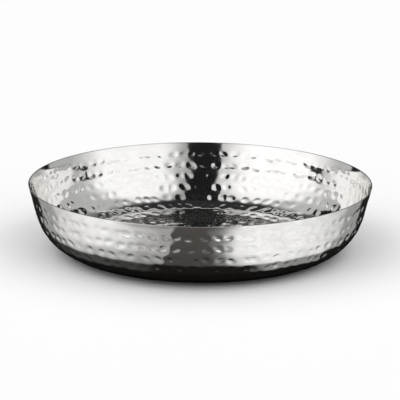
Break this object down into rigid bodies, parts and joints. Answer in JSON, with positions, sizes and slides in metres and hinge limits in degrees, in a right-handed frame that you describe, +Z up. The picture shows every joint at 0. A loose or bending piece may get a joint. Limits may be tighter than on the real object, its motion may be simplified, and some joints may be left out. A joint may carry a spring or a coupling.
{
  "type": "round serving tray",
  "caption": "Deep round serving tray of one hammered, mirror-polished steel sheet: flat floor, round heel and flared wall with a plain band under its cut rim, for ice, seafood or fruit.",
  "frame": {"origin": "centre of the underside, on the surface the tray stands on", "axes": "+Z up out of the tray, X and Y level; the tray is round, so X and Y have no front of their own"},
  "size_m": [0.356, 0.356, 0.071],
  "materials": {
    "polished_steel": "mirror-polished, hammered"
  },
  "bodies": {
    "root": {"tray_sheet": "polished_steel"}
  },
  "joints": []
}
